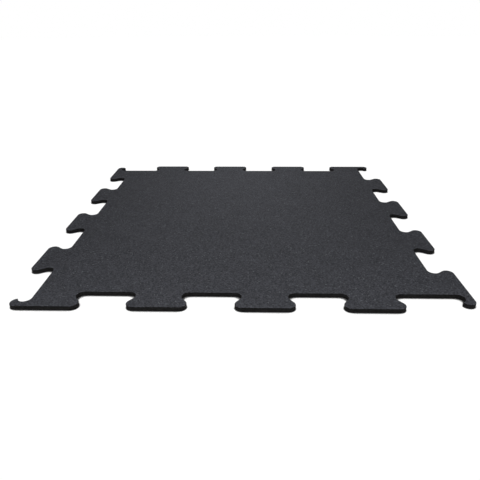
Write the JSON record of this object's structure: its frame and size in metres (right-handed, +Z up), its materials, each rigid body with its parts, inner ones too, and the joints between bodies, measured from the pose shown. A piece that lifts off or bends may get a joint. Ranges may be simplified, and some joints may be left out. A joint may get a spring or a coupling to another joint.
{
  "type": "interlocking floor tile",
  "caption": "Flat square floor tile of black bonded rubber crumb, with rounded puzzle tabs and notches along all its sides that lock it to copies of itself.",
  "frame": {"origin": "centre of the underside, on the floor", "axes": "+Z up out of the walking face, +X and +Y square to the sides"},
  "size_m": [1, 1, 0.01],
  "materials": {
    "rubber": "matte black bonded crumb with a fine grain"
  },
  "bodies": {
    "root": {"rubber_tile": "rubber"}
  },
  "joints": []
}
